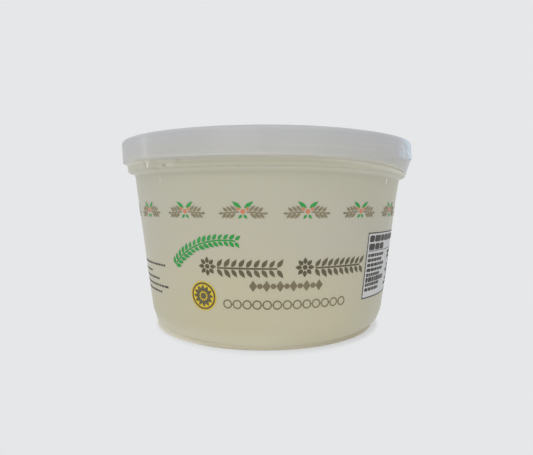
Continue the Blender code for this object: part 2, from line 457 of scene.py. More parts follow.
# %% Profile of the tub
WALL_BASE_RADIUS = 46.55 * MM
WALL_TAPER = 0.12
CORNER_TOP, CORNER_RADIUS = 9.3 * MM, 18.3 * MM
FOOT_RADIUS, FOOT_HEIGHT, FOOT_EDGE = 44.85 * MM, 2.2 * MM, 0.8 * MM
FOOT_WIDTH, FOOT_GROOVE, BASE_RECESS = 4.0 * MM, 0.2 * MM, 1.0 * MM
SHOULDER_RADIUS, SHOULDER_BOTTOM, SHOULDER_TOP = 56.4 * MM, 60.3 * MM, 62.5 * MM
SHOULDER_EDGE, STEP_RISE = 0.9 * MM, 1.4 * MM
UNDER_HEIGHT, UNDER_REACH = 1.9 * MM, 0.95 * MM    # the hollow fillet under the shoulder
RIM_WIDTH, FILL_DROP = 2.5 * MM, 2.6 * MM


def arc(centre, radius, start, end, steps):
    """Points of an arc in (radius, height); angles in radians from outwards."""
    turns = [start + (end - start) * step / steps for step in range(steps + 1)]
    return [(centre[0] + radius * math.cos(a), centre[1] + radius * math.sin(a)) for a in turns]


def line(start, end, steps):
    """Points from start up to, but not at, end."""
    return [(start[0] + (end[0] - start[0]) * step / steps,
             start[1] + (end[1] - start[1]) * step / steps) for step in range(steps)]


def wall_radius(height):
    return WALL_BASE_RADIUS + WALL_TAPER * height


def tub_profile():
    rim_outer, rim_half = TUB_HIGH.x, RIM_WIDTH / 2
    rim_centre = (rim_outer - rim_half, TUB_HIGH.z - rim_half)
    fill_top = TUB_HIGH.z - FILL_DROP
    contents = line((0.0, fill_top), (rim_outer - RIM_WIDTH, fill_top), 12)
    rim = arc(rim_centre, rim_half, math.pi, 0.0, 16)
    step = [(rim_outer, SHOULDER_TOP + STEP_RISE)]
    shoulder = line((SHOULDER_RADIUS, SHOULDER_TOP),
                    (SHOULDER_RADIUS, SHOULDER_BOTTOM + SHOULDER_EDGE), 3)
    edge = arc((SHOULDER_RADIUS - SHOULDER_EDGE, SHOULDER_BOTTOM + SHOULDER_EDGE),
               SHOULDER_EDGE, 0.0, -math.pi / 2, 10)
    wall_top = SHOULDER_BOTTOM - UNDER_HEIGHT
    under = []
    for share in (0.0, 0.12, 0.25, 0.4, 0.55, 0.7, 0.85):
        z = SHOULDER_BOTTOM - UNDER_HEIGHT * share
        under.append((wall_radius(z) + UNDER_REACH * (1 - share) ** 2, z))
    wall = line((wall_radius(wall_top), wall_top), (wall_radius(CORNER_TOP), CORNER_TOP), 24)

    lean = math.atan(WALL_TAPER)
    centre = (wall_radius(CORNER_TOP) - CORNER_RADIUS * math.cos(lean),
              CORNER_TOP + CORNER_RADIUS * math.sin(lean))
    corner_end = -math.asin((centre[1] - FOOT_HEIGHT) / CORNER_RADIUS)
    corner = arc(centre, CORNER_RADIUS, -lean, corner_end, 16)
    groove = [(FOOT_RADIUS - FOOT_GROOVE, FOOT_HEIGHT - FOOT_GROOVE / 2),
              (FOOT_RADIUS, FOOT_HEIGHT - FOOT_GROOVE)]
    foot = arc((FOOT_RADIUS - FOOT_EDGE, FOOT_EDGE), FOOT_EDGE, 0.0, -math.pi / 2, 8)
    inner = FOOT_RADIUS - FOOT_WIDTH
    base = [(inner, 0.0), (inner - BASE_RECESS, BASE_RECESS)]
    panel = line((inner - 2 * BASE_RECESS, BASE_RECESS), (0.0, BASE_RECESS), 12)
    return (contents + rim + step + shoulder + edge + under + wall + corner + groove + foot
            + base + panel + [(0.0, BASE_RECESS)])


# %% [markdown]
# ## How the tub has settled
# A thin tub gives way once it is full and closed. Its shoulder hangs a little at the
# right, where the rim has moved outwards as well. The bottom corner bulges down over
# the foot in front, and the foot sits slightly off centre. Sculpting would do it, but it couldn't be adjusted by number
# afterwards. One small tree moves the finished turning instead, by angle and height.

# %% Tree that lets the tub settle


def round_the_axis(tree):
    """Height, distance from the axis, way out, and x and -y on the unit circle."""
    position = add(tree, "GeometryNodeInputPosition")
    height = add(tree, "ShaderNodeSeparateXYZ", {0: position}).outputs[2]
    level = add(tree, "ShaderNodeVectorMath", {0: position, 1: (1.0, 1.0, 0.0)},
                operation="MULTIPLY")
    length = add(tree, "ShaderNodeVectorMath", {0: level}, operation="LENGTH").outputs[1]
    outward = add(tree, "ShaderNodeVectorMath", {0: level}, operation="NORMALIZE")
    side = add(tree, "ShaderNodeSeparateXYZ", {0: outward})
    front = add(tree, "ShaderNodeMath", {0: side.outputs[1], 1: -1.0}, operation="MULTIPLY")
    return height, length, outward, side.outputs[0], front.outputs[0]


def settled_tree():
    tree, given = new_tree("settled", drop_right=0.0016, raise_left=0.0004,
                           lean_right=0.0003, rim_right=0.0015, corner_drop=0.00105,
                           corner_rise=0.0029, follow=0.5, foot_left=0.0010,
                           foot_back=0.00035,
                           material="material")
    calculate = calculator(tree)
    height, length, outward, x, _ = round_the_axis(tree)
    right = calculate("MAXIMUM", x)
    left = calculate("MAXIMUM", calculate("MULTIPLY", x, -1.0))

    def window(low, full, still, high):
        rise = add(tree, "ShaderNodeMapRange", {0: height, 1: low, 2: full})
        fall = add(tree, "ShaderNodeMapRange", {0: height, 1: still, 2: high, 3: 1.0, 4: 0.0})
        return calculate("MULTIPLY", rise, fall)

    # The shoulder hangs at the right, where its lower edge also leans in
    raised = calculate("MULTIPLY", calculate("POWER", left, 4.0), given.outputs["raise_left"])
    dropped = calculate("MULTIPLY", calculate("POWER", right, 2.0), given.outputs["drop_right"])
    shoulder = calculate("MULTIPLY", calculate("SUBTRACT", raised, dropped),
                         window(0.0530, 0.0584, 0.0625, 0.0670))
    lean = calculate("MULTIPLY", calculate("POWER", right, 4.0), given.outputs["lean_right"])
    lean = calculate("MULTIPLY", lean, window(0.0584, 0.0603, 0.0605, 0.0630))

    # The rim has given way under the lid's tucked skirt
    outside = add(tree, "ShaderNodeMapRange", {0: length, 1: 0.0500, 2: 0.0530})
    rim = calculate("MULTIPLY", calculate("POWER", right, 3.0), given.outputs["rim_right"])
    rim = calculate("MULTIPLY", rim, window(0.0612, 0.0630, 0.0700, 0.0730))
    lean = calculate("ADD", lean, calculate("MULTIPLY", rim, outside))

    # The bottom corner bulges down over the foot in front, and leaves it bare at the sides
    risen = calculate("MULTIPLY", calculate("MULTIPLY", x, x), given.outputs["corner_rise"])
    corner = calculate("MULTIPLY", calculate("SUBTRACT", risen, given.outputs["corner_drop"]),
                       window(0.0008, 0.0018, 0.0024, 0.0066))
    grown = calculate("MULTIPLY", corner, given.outputs["follow"])
    grown = calculate("MULTIPLY", grown, window(0.0021, 0.0022, 0.0024, 0.0066))

    foot = window(-1.0, -0.5, 0.0018, 0.0024)
    shift = add(tree, "ShaderNodeCombineXYZ",
                {0: calculate("MULTIPLY", calculate("MULTIPLY", foot, given.outputs["foot_left"]),
                              -1.0),
                 1: calculate("MULTIPLY", foot, given.outputs["foot_back"]),
                 2: calculate("ADD", shoulder, corner)})
    sideways = add(tree, "ShaderNodeVectorMath",
                   {0: outward, "Scale": calculate("SUBTRACT", grown, lean)}, operation="SCALE")
    total = add(tree, "ShaderNodeVectorMath", {0: shift, 1: sideways}, operation="ADD")
    moved = add(tree, "GeometryNodeSetPosition",
                {"Geometry": given.outputs["Geometry"], "Offset": total})
    return finish_tree(tree, given, moved)


SETTLED = settled_tree()
tub = turn("tub_body", tub_profile(), TUB_PLASTIC, (SETTLED, {"material": TUB_PLASTIC}))
shade(tub, 32)
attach(tub, "root")
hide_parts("tub")

# %% [markdown]
# ## The lid
# The lid is a thin cap: a rounded rim, a recessed panel with a stacking bead, and a
# skirt that ends in a lip. A used lid isn't a perfect turning. Pressing it on has
# lifted the lip a little at the left. At the right it has dragged the skirt down,
# folded it along a line and tucked its lower part in under the crown. A second small
# tree pushes the finished turning about by angle and height, with one named input for
# each of these marks.

# %% Profile of the lid
LID_THICKNESS = 0.95 * MM
CROWN_EDGE, CROWN_WIDTH, INNER_EDGE = 1.2 * MM, 4.9 * MM, 0.8 * MM
PANEL_RECESS, RECESS_SLOPE = 2.6 * MM, 1.2 * MM
SKIRT_END = SKIRT_BOTTOM - 0.55 * MM
SKIRT_WAIST, LIP_HEIGHT, LIP_EDGE = 0.05 * MM, 1.0 * MM, 0.3 * MM
GRIP_RADIUS, GRIP_DROP = 56.45 * MM, 0.6 * MM    # the lip is rolled in below the tub's rim
BEAD_RADIUS, BEAD_WIDTH, BEAD_HEIGHT = 42.0 * MM, 3.6 * MM, 0.5 * MM


def lid_profile():
    panel = LID_TOP - PANEL_RECESS
    crown_inner = LID_RADIUS - CROWN_WIDTH
    bead = [(BEAD_RADIUS + BEAD_WIDTH * (share - 0.5),
             panel + BEAD_HEIGHT * math.sin(math.pi * share)) for share in
            [step / 12 for step in range(13)]]
    top = line((0.0, panel), (BEAD_RADIUS - BEAD_WIDTH / 2, panel), 12) + bead
    slope = [(crown_inner - RECESS_SLOPE, panel),
             (crown_inner - RECESS_SLOPE / 2, panel + BEAD_HEIGHT)]
    inner_edge = arc((crown_inner + INNER_EDGE, LID_TOP - INNER_EDGE),
                     INNER_EDGE, math.pi, math.pi / 2, 8)
    outer_edge = arc((LID_RADIUS - CROWN_EDGE, LID_TOP - CROWN_EDGE),
                     CROWN_EDGE, math.pi / 2, 0.0, 12)
    waist = LID_RADIUS - SKIRT_WAIST
    lip_top = SKIRT_END + LIP_HEIGHT
    skirt = (line((waist, LID_TOP - CROWN_EDGE - 0.4 * MM), (waist, lip_top + LIP_EDGE), 24)
             + line((waist, lip_top + LIP_EDGE), (LID_RADIUS, lip_top), 3)
             + line((LID_RADIUS, lip_top), (LID_RADIUS, SKIRT_END + LIP_EDGE), 3))
    lip = arc((LID_RADIUS - LIP_EDGE, SKIRT_END + LIP_EDGE), LIP_EDGE, 0.0, -math.pi / 4, 4)
    lip += line((GRIP_RADIUS + 0.5 * MM, SKIRT_END - 0.3 * MM),
                (GRIP_RADIUS, SKIRT_END - GRIP_DROP), 2)
    lip += [(GRIP_RADIUS, SKIRT_END - GRIP_DROP), (GRIP_RADIUS, SKIRT_END)]
    skirt_inner = LID_RADIUS - LID_THICKNESS
    under = LID_TOP - LID_THICKNESS
    recess_under = crown_inner + LID_THICKNESS / 2
    inside = line((skirt_inner, SKIRT_END + 1.2 * MM), (skirt_inner, under - LIP_EDGE), 24) + [
        (skirt_inner, under - LIP_EDGE), (skirt_inner - LIP_EDGE, under),
        (recess_under + LIP_EDGE, under), (recess_under, under - LIP_EDGE),
        (crown_inner - RECESS_SLOPE / 2, panel - LID_THICKNESS)]
    below = line((crown_inner - RECESS_SLOPE, panel - LID_THICKNESS),
                 (0.0, panel - LID_THICKNESS), 12)
    return (top + slope + inner_edge + outer_edge + skirt + lip + inside + below
            + [(0.0, panel - LID_THICKNESS)])


# %% Tree that gives the lid its handling marks


def handled_tree():
    tree, given = new_tree("handled", crown=0.072, lip=0.063, lift_left=0.00135,
                           sink_right=0.0040, pull_in=0.0008, tuck_left=0.00037,
                           square=0.0005, droop=0.0010, fold_rise=0.0051,
                           fold_step=0.0005, tuck_right=0.0024, crumple=0.0008,
                           material="material")
    calculate = calculator(tree)
    height, length, outward, x, _ = round_the_axis(tree)
    right = calculate("MAXIMUM", x)
    broad, near = calculate("POWER", right, 3.0), calculate("POWER", right, 4.0)
    close = calculate("POWER", right, 8.0)
    leftward = calculate("MAXIMUM", calculate("MULTIPLY", x, -1.0))
    left = calculate("POWER", leftward, 4.0)

    # 0 at the crown and on the panel, 1 at the lip
    down = add(tree, "ShaderNodeMapRange",
               {0: height, 1: given.outputs["crown"], 2: given.outputs["lip"]})
    edge = add(tree, "ShaderNodeMapRange", {0: length, 1: 0.0545, 2: 0.0570})
    skirt = calculate("MULTIPLY", down, edge)
    lift = calculate("SUBTRACT", calculate("MULTIPLY", calculate("POWER", leftward, 2.5),
                                           given.outputs["lift_left"]),
                     calculate("MULTIPLY", calculate("POWER", right, 3.5),
                               given.outputs["sink_right"]))

    # The crown draws in at the right and droops before it, and the skirt tucks in
    above = calculate("SUBTRACT", 1.0, down)
    crown = calculate("MULTIPLY", calculate("MULTIPLY", above, above), edge)
    wave = calculate("SUBTRACT", calculate("POWER", right, 2.0), near)
    droop = calculate("MULTIPLY", calculate("MULTIPLY", wave, given.outputs["droop"]), crown)
    up = add(tree, "ShaderNodeCombineXYZ",
             {2: calculate("SUBTRACT", calculate("MULTIPLY", lift, skirt), droop)})
    inward = calculate("MULTIPLY", calculate("MULTIPLY", crown, near), given.outputs["pull_in"])
    tuck = calculate("MULTIPLY", calculate("MULTIPLY", skirt, left), given.outputs["tuck_left"])

    # At both ends the crown's edge is squarer
    top = add(tree, "ShaderNodeMapRange", {0: height, 1: 0.0708, 2: given.outputs["crown"]})
    square = calculate("MULTIPLY", calculate("MULTIPLY", top, top), edge)
    square = calculate("MULTIPLY", calculate("MULTIPLY", square, given.outputs["square"]),
                       calculate("MULTIPLY", x, x))
    tuck = calculate("SUBTRACT", tuck, square)

    # The fold climbs from the lip round to the right, and the skin below it leans in
    fold_height = calculate("ADD", given.outputs["lip"],
                            calculate("MULTIPLY", broad, given.outputs["fold_rise"]))
    below = add(tree, "ShaderNodeMapRange",
                {0: height, 1: fold_height, 2: given.outputs["lip"]})
    step = add(tree, "ShaderNodeMapRange", {0: below, 1: 0.0, 2: 0.15},
               interpolation_type="SMOOTHSTEP")
    stepped = calculate("MULTIPLY", calculate("MULTIPLY", step, given.outputs["fold_step"]),
                        close)
    bent = calculate("MULTIPLY", calculate("MULTIPLY", below, given.outputs["tuck_right"]),
                     broad)
    fold = calculate("MULTIPLY", calculate("ADD", stepped, bent), edge)

    # Above the fold the skin is crumpled into small upright creases
    stretched = add(tree, "ShaderNodeVectorMath",
                    {0: add(tree, "GeometryNodeInputPosition"), 1: (1.0, 1.0, 0.35)},
                    operation="MULTIPLY")
    crease = add(tree, "ShaderNodeTexNoise", {"Vector": stretched, "Scale": 400.0, "Detail": 1.0})
    depth = calculate("MULTIPLY", calculate("SUBTRACT", crease, 0.3), given.outputs["crumple"])
    upper = add(tree, "ShaderNodeMapRange", {0: height, 1: 0.0705, 2: 0.0690})
    waved = calculate("MULTIPLY", calculate("MULTIPLY", depth, upper),
                      calculate("MULTIPLY", close, edge))
    inward = calculate("ADD", inward, waved)
    pull = calculate("MULTIPLY", calculate("ADD", calculate("ADD", inward, tuck), fold), -1.0)
    sideways = add(tree, "ShaderNodeVectorMath", {0: outward, "Scale": pull}, operation="SCALE")
    total = add(tree, "ShaderNodeVectorMath", {0: sideways, 1: up}, operation="ADD")
    moved = add(tree, "GeometryNodeSetPosition",
                {"Geometry": given.outputs["Geometry"], "Offset": total})
    return finish_tree(tree, given, moved)


HANDLED = handled_tree()
lid = turn("lid_cap", lid_profile(), LID_PLASTIC,
           (HANDLED, {"crown": LID_TOP, "lip": SKIRT_END, "material": LID_PLASTIC}))
shade(lid, 32)
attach(lid, "root")
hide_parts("lid")

# %% [markdown]
# ## Printing on a cone
# The print is ink rolled onto the finished tub. Ink is only some hundredths of a
# millimetre thick, and an image texture would be the usual way to show it. Here each
# shape is cut out flat, as on a printing plate, and one tree wraps the plate round the
# wall: distance along the plate becomes an angle, height stays height, and the film is
# given a thickness, drawn as a few hundredths of a millimetre so that it stands clear.

# %% Flat shapes for the printing plate
PLATE_RADIUS = 50.0 * MM      # distance along the plate over this is the angle
SMALLEST = 0.03 * MM


class Plate:
    """Flat outlines in millimetres, x along the plate and z up, facing -Y."""

    def __init__(self):
        self.points, self.faces = [], []

    def ribbon(self, path, half_widths, closed=False):
        """A band along a path, with its half width given at each point."""
        count, start = len(path), len(self.points)
        for i, (x, z) in enumerate(path):
            before = path[i - 1] if i or closed else path[i]
            after = path[(i + 1) % count] if i + 1 < count or closed else path[i]
            run, rise = after[0] - before[0], after[1] - before[1]
            length = math.hypot(run, rise)
            half = max(half_widths[i] if isinstance(half_widths, list) else half_widths,
                       SMALLEST / MM)
            across = (-rise / length * half, run / length * half)
            self.points += [(x + across[0], 0.0, z + across[1]),
                            (x - across[0], 0.0, z - across[1])]
        for i in range(count if closed else count - 1):
            here, there = start + 2 * i, start + 2 * ((i + 1) % count)
            self.faces.append((here + 1, there + 1, there, here))

    def bar(self, left, right, z, half):
        """A level bar with rounded ends."""
        steps = max(2, math.ceil(right - left))
        path = [(left + (right - left) * i / steps, z) for i in range(steps + 1)]
        ends = [(left + half * 0.3, z)], [(right - half * 0.3, z)]
        path = [path[0]] + ends[0] + path[1:-1] + ends[1] + [path[-1]]
        self.ribbon(path, [half * 0.6] + [half] * (len(path) - 2) + [half * 0.6])

    def leaf(self, x, z, length, width, degrees, steps=6):
        """A pointed leaf that grows from (x, z) in a direction."""
        turn_x, turn_z = math.cos(math.radians(degrees)), math.sin(math.radians(degrees))
        path = [(x + turn_x * length * i / steps, z + turn_z * length * i / steps)
                for i in range(steps + 1)]
        widths = [width / 2 * math.sin(math.pi * (i / steps) ** 0.8) for i in range(steps + 1)]
        self.ribbon(path, widths)

    def ring(self, x, z, radius, half, steps=24):
        path = [(x + radius * math.cos(2 * math.pi * i / steps),
                 z + radius * math.sin(2 * math.pi * i / steps)) for i in range(steps)]
        self.ribbon(path, half, closed=True)

    def disc(self, x, z, radius, steps=24):
        """Rings about a middle point, each less than a millimetre wide."""
        rings, start = max(1, math.ceil(radius)), len(self.points)
        self.points.append((x, 0.0, z))
        for ring in range(1, rings + 1):
            for i in range(steps):
                angle = 2 * math.pi * i / steps
                self.points.append((x + radius * ring / rings * math.cos(angle), 0.0,
                                    z + radius * ring / rings * math.sin(angle)))
        for i in range(steps):
            self.faces.append((start, start + 1 + i, start + 1 + (i + 1) % steps))
        for ring in range(1, rings):
            inner, outer = start + 1 + (ring - 1) * steps, start + 1 + ring * steps
            for i in range(steps):
                nxt = (i + 1) % steps
                self.faces.append((inner + i, outer + i, outer + nxt, inner + nxt))

    def lozenge(self, x, z, width, height):
        self.ribbon([(x - width / 2, z), (x, z), (x + width / 2, z)],
                    [0.0, height / 2, 0.0])

    def mesh(self, name):
        flat = bpy.data.meshes.new(name)
        flat.from_pydata([(x * MM, y * MM, z * MM) for x, y, z in self.points], [], self.faces)
        return flat


# %% Tree that wraps the plate round the wall


def ink_tree():
    tree, given = new_tree("ink_on_wall", wall_radius=WALL_BASE_RADIUS, taper=WALL_TAPER,
                           plate_radius=PLATE_RADIUS, lift=0.00001, thickness=0.00004,
                           material="material")

    calculate = calculator(tree)
    split = add(tree, "ShaderNodeSeparateXYZ", {0: add(tree, "GeometryNodeInputPosition")})
    angle = calculate("DIVIDE", split.outputs[0], given.outputs["plate_radius"])
    opening = calculate("MULTIPLY", split.outputs[2], given.outputs["taper"])
    wall = calculate("ADD", given.outputs["wall_radius"], opening)
    radius = calculate("ADD", wall, given.outputs["lift"])
    x = calculate("MULTIPLY", radius, calculate("SINE", angle))
    y = calculate("MULTIPLY", calculate("MULTIPLY", radius, calculate("COSINE", angle)), -1.0)
    place = add(tree, "ShaderNodeCombineXYZ", {0: x, 1: y, 2: split.outputs[2]})
    wrapped = add(tree, "GeometryNodeSetPosition",
                  {"Geometry": given.outputs["Geometry"], "Position": place})
    raised = add(tree, "GeometryNodeExtrudeMesh",
                 {"Mesh": wrapped, "Offset Scale": given.outputs["thickness"],
                  "Individual": False})
    back = add(tree, "GeometryNodeFlipFaces", {0: wrapped})
    both = add(tree, "GeometryNodeJoinGeometry", {0: raised})
    tree.links.new(back.outputs[0], both.inputs[0])
    film = add(tree, "GeometryNodeMergeByDistance", {"Geometry": both, "Distance": 1e-6})
    return finish_tree(tree, given, film)


INK_ON_WALL = ink_tree()
WALL_SIDE, OVER_INK = 0.00001, 0.000055


def printed(name, flat, ink, lift=WALL_SIDE, *before):
    """Run any trees that lay out the plate, wrap it, and hand the film to the frame."""
    film = grow(name, flat, *before, (INK_ON_WALL, {"lift": lift, "material": ink}))
    shade(film, 40)
    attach(film, "root")
    return film


# %% [markdown]
# ## Offset ink
# Cups and tubs are printed by dry offset: a thin, matte, slightly uneven film. The
# unevenness is a mottle well under a millimetre across, a little lighter where the
# film is thin and the milky wall comes through.

# %% Material of an ink


def offset_ink(name, full, thin, fade=0.5):
    material, tree, shader = new_material(name)
    place = add(tree, "ShaderNodeTexCoord").outputs["Object"]
    mottle = noise(tree, place, 0.7, 3.0)
    patch = noise(tree, place, 9.0)
    both = add(tree, "ShaderNodeMath", {0: mottle, 1: patch}, operation="ADD")
    cover = between(tree, both, 0.75, 1.25, 0.0, fade)
    tree.links.new(blend(tree, cover, full, thin), shader.inputs["Base Color"])
    tree.links.new(between(tree, mottle, 0.3, 0.7, 0.42, 0.55), shader.inputs["Roughness"])
    bump = add(tree, "ShaderNodeBump", {"Strength": 0.1, "Distance": 0.00001, "Height": mottle})
    tree.links.new(bump.outputs[0], shader.inputs["Normal"])
    shader.inputs["IOR"].default_value = 1.48
    return material


BROWN_INK = offset_ink("brown_offset_ink", "#504932", "#6A6248")
FADED_INK = offset_ink("thin_brown_offset_ink", "#6A6048", "#857B5E")
LIGHT_INK = offset_ink("light_brown_offset_ink", "#7A7056", "#8F8568")
GREEN_INK = offset_ink("green_offset_ink", "#1E8B37", "#4A9A58")
ORANGE_INK = offset_ink("orange_offset_ink", "#C0714F", "#B98A66")
YELLOW_INK = offset_ink("yellow_offset_ink", "#D0B31C", "#C6AC2C")
WHITE_INK = offset_ink("white_offset_ink", "#C0C0C0", "#B7B7B5")
BLACK_INK = offset_ink("black_offset_ink", "#2A251F", "#4C4843")

# %% [markdown]
# ## A row of sprigs
# A border of small olive sprigs runs round the tub. Sixteen copies of one motif are
# just what instancing is for: a row of points at an even pitch, one flat motif on
# each, made real before the wrap.

# %% Tree that repeats a motif


def row_tree():
    tree, given = new_tree("row_of_motifs", motif="object", count=16, pitch=0.02,
                           start=0.0, material="material")
    start = add(tree, "ShaderNodeCombineXYZ", {0: given.outputs["start"]})
    step = add(tree, "ShaderNodeCombineXYZ", {0: given.outputs["pitch"]})
    points = add(tree, "GeometryNodeMeshLine",
                 {"Count": given.outputs["count"], "Start Location": start, "Offset": step})
    motif = add(tree, "GeometryNodeObjectInfo",
                {"Object": given.outputs["motif"], "As Instance": True})
    copies = add(tree, "GeometryNodeInstanceOnPoints",
                 {"Points": points, "Instance": motif.outputs["Geometry"]})
    return finish_tree(tree, given, copies)


ROW = row_tree()
SPRIGS = 16
SPRIG_PITCH = 2 * math.pi * PLATE_RADIUS / SPRIGS
SPRIG_START = math.radians(-8.4) * PLATE_RADIUS - SPRIG_PITCH * SPRIGS / 2


def sprig_row(name, plate, ink):
    motif = bpy.data.objects.new(name + "_motif", plate.mesh(name + "_motif"))
    bpy.context.scene.collection.objects.link(motif)
    row = (ROW, {"motif": motif, "count": SPRIGS, "pitch": SPRIG_PITCH, "start": SPRIG_START,
                 "material": ink})
    printed(name, bpy.data.meshes.new(name), ink, WALL_SIDE, row)
    bpy.data.objects.remove(motif)


# %% Three plates, one for each ink
SPRIG_HEIGHT = 46.2
stem, greens, berries = Plate(), Plate(), Plate()
for side in (-1, 1):
    twig = [(side * x, SPRIG_HEIGHT - 0.012 * x * x) for x in (1.2, 2.2, 3.2, 4.2, 5.2, 6.2)]
    stem.ribbon(twig[::side], 0.22)
    for number, x in enumerate((1.9, 3.3, 4.7)):
        reach = 2.5 - 0.25 * number
        base = SPRIG_HEIGHT - 0.012 * x * x
        along = 0 if side > 0 else 180
        stem.leaf(side * x, base + 0.35, reach, 0.95, along + side * 42)
        stem.leaf(side * (x + 0.4), base - 0.35, reach, 0.95, along - side * 42)
    stem.leaf(side * 6.1, SPRIG_HEIGHT - 0.45, 1.5, 0.8, along)
    greens.leaf(side * 0.5, SPRIG_HEIGHT + 1.2, 3.4, 1.25, 90 - side * 52)
    greens.leaf(side * 0.3, SPRIG_HEIGHT - 0.9, 1.6, 0.9, -90 + side * 40)
berries.disc(0.0, SPRIG_HEIGHT + 0.15, 0.75, 16)
berries.disc(-1.4, SPRIG_HEIGHT + 1.0, 0.5, 12)
berries.disc(1.4, SPRIG_HEIGHT + 1.0, 0.5, 12)
sprig_row("print_sprigs_brown", stem, LIGHT_INK)
sprig_row("print_sprigs_green", greens, GREEN_INK)
sprig_row("print_sprigs_orange", berries, ORANGE_INK)

# %% [markdown]
# ## A garland on an arch
# A green garland arches over the middle band. Leaves that follow a curve are again a
# job for Geometry Nodes: the curve is cut into even steps, each step carries a leaf on
# one side and a leaf on the other, and each leaf is turned to the curve's own
# direction. A fixed seed gives every leaf a slightly different size.

# %% Tree that grows leaves along a path


def garland_tree():
    tree, given = new_tree("garland", leaf="object", spacing=0.0016, gap=0.0004,
                           spread=0.8, seed=3, material="material")
    path = add(tree, "GeometryNodeMeshToCurve", {0: given.outputs["Geometry"]})
    steps = add(tree, "GeometryNodeCurveToPoints",
                {"Curve": path, "Length": given.outputs["spacing"]}, mode="LENGTH")
    leaf = add(tree, "GeometryNodeObjectInfo",
               {"Object": given.outputs["leaf"], "As Instance": True})
    tangent = add(tree, "ShaderNodeSeparateXYZ", {0: steps.outputs["Tangent"]})
    heading = add(tree, "ShaderNodeMath", {0: tangent.outputs[2], 1: tangent.outputs[0]},
                  operation="ARCTAN2")
    joined = add(tree, "GeometryNodeJoinGeometry")
    for side in (1.0, -1.0):
        offset = add(tree, "ShaderNodeMath", {0: given.outputs["spread"], 1: side},
                     operation="MULTIPLY")
        lean = add(tree, "ShaderNodeMath", {0: heading, 1: offset}, operation="ADD")
        turned = add(tree, "ShaderNodeMath", {0: lean, 1: -1.0}, operation="MULTIPLY")
        rotation = add(tree, "ShaderNodeCombineXYZ", {1: turned})
        size = add(tree, "FunctionNodeRandomValue",
                   {2: 0.85, 3: 1.1, "Seed": given.outputs["seed"]}, data_type="FLOAT")
        across = add(tree, "ShaderNodeCombineXYZ",
                     {0: add(tree, "ShaderNodeMath", {0: tangent.outputs[2], 1: -side},
                             operation="MULTIPLY"),
                      2: add(tree, "ShaderNodeMath", {0: tangent.outputs[0], 1: side},
                             operation="MULTIPLY")})
        shift = add(tree, "ShaderNodeVectorMath", {0: across, "Scale": given.outputs["gap"]},
                    operation="SCALE")
        beside = add(tree, "GeometryNodeSetPosition",
                     {"Geometry": steps.outputs["Points"], "Offset": shift})
        leaves = add(tree, "GeometryNodeInstanceOnPoints",
                     {"Points": beside, "Instance": leaf.outputs["Geometry"],
                      "Rotation": rotation, "Scale": size.outputs[1]})
        tree.links.new(leaves.outputs[0], joined.inputs[0])
    return finish_tree(tree, given, joined)


GARLAND = garland_tree()


def path_mesh(name, points):
    """A chain of edges in plate millimetres, which the garland tree reads as a curve."""
    chain = bpy.data.meshes.new(name)
    chain.from_pydata([(x * MM, 0.0, z * MM) for x, z in points],
                      [(i, i + 1) for i in range(len(points) - 1)], [])
    return chain


def arch(centre_x, crest_z, radius, left, right, steps=40):
    """Points of a shallow arch over its centre."""
    spots = [left + (right - left) * i / steps for i in range(steps + 1)]
    return [(x, crest_z - radius + math.sqrt(radius ** 2 - (x - centre_x) ** 2)) for x in spots]


def garland(name, path, ink, length, width, spacing, stalk, spread=0.8, seed=3):
    """Leaves on both sides of a path, and the thin stalk between them."""
    one = Plate()
    one.leaf(0.0, 0.0, length, width, 0)
    leaf = bpy.data.objects.new(name + "_leaf", one.mesh(name + "_leaf"))
    bpy.context.scene.collection.objects.link(leaf)
    values = {"leaf": leaf, "spacing": spacing * MM, "gap": (stalk + 0.12) * MM,
              "spread": spread, "seed": seed, "material": ink}
    printed(name, path_mesh(name, path), ink, WALL_SIDE, (GARLAND, values))
    bpy.data.objects.remove(leaf)
    twig = Plate()
    twig.ribbon(path, stalk)
    printed(name + "_stalk", twig.mesh(name + "_stalk"), ink)


garland("print_garland_green", arch(-13.4, 37.2, 27.0, -33.5, -10.0), GREEN_INK,
        2.4, 1.25, 1.75, 0.25)

# %% [markdown]
# ## The middle band
# The large print in the middle is a pair of laurel sprays, each led by a rosette. A
# row of lozenges and beads sits under them, and a thin chain of rings under that.

# %% Laurel sprays


def rosette(plate, x, z, radius, petals, width, core):
    for petal in range(petals):
        angle = 360 * petal / petals
        start = core + 0.25
        plate.leaf(x + start * math.cos(math.radians(angle)),
                   z + start * math.sin(math.radians(angle)),
                   radius - start, width, angle)
    plate.disc(x, z, core, 16)


LAUREL_HEIGHT = 28.2
heads = Plate()
for left, right in ((-23.0, 5.0), (9.2, 35.8)):
    rosette(heads, left + 3.0, LAUREL_HEIGHT + 0.3, 3.2, 8, 1.4, 0.8)
    spray = [(left + 6.6 + (right - left - 8.4) * i / 20, LAUREL_HEIGHT) for i in range(21)]
    garland("print_laurel_" + ("left" if left < 0 else "right"), spray, BROWN_INK,
            3.1, 1.4, 2.25, 0.28, 0.95, 5)
printed("print_rosettes", heads.mesh("print_rosettes"), BROWN_INK)

# %% Beads and rings
beads = Plate()
for number in range(11):
    spot = -4.6 + 2.2 * number
    if number % 2:
        beads.disc(spot, 22.5, 0.9, 14)
    else:
        beads.lozenge(spot, 22.5, 2.6, 3.7)
printed("print_beads", beads.mesh("print_beads"), FADED_INK)

rings = Plate()
for number in range(13):
    spot = -13.4 + 3.35 * number
    rings.ring(spot, 16.3, 1.35, 0.22, 18)
    if number < 12:
        rings.disc(spot + 1.675, 16.3, 0.22, 8)
printed("print_rings", rings.mesh("print_rings"), FADED_INK)

# %% [markdown]
# ## The round seal
# A yellow disc with a brown ring and a sunburst rosette. Two inks overlap here, so
# the brown film is wrapped a little further out than the yellow one.

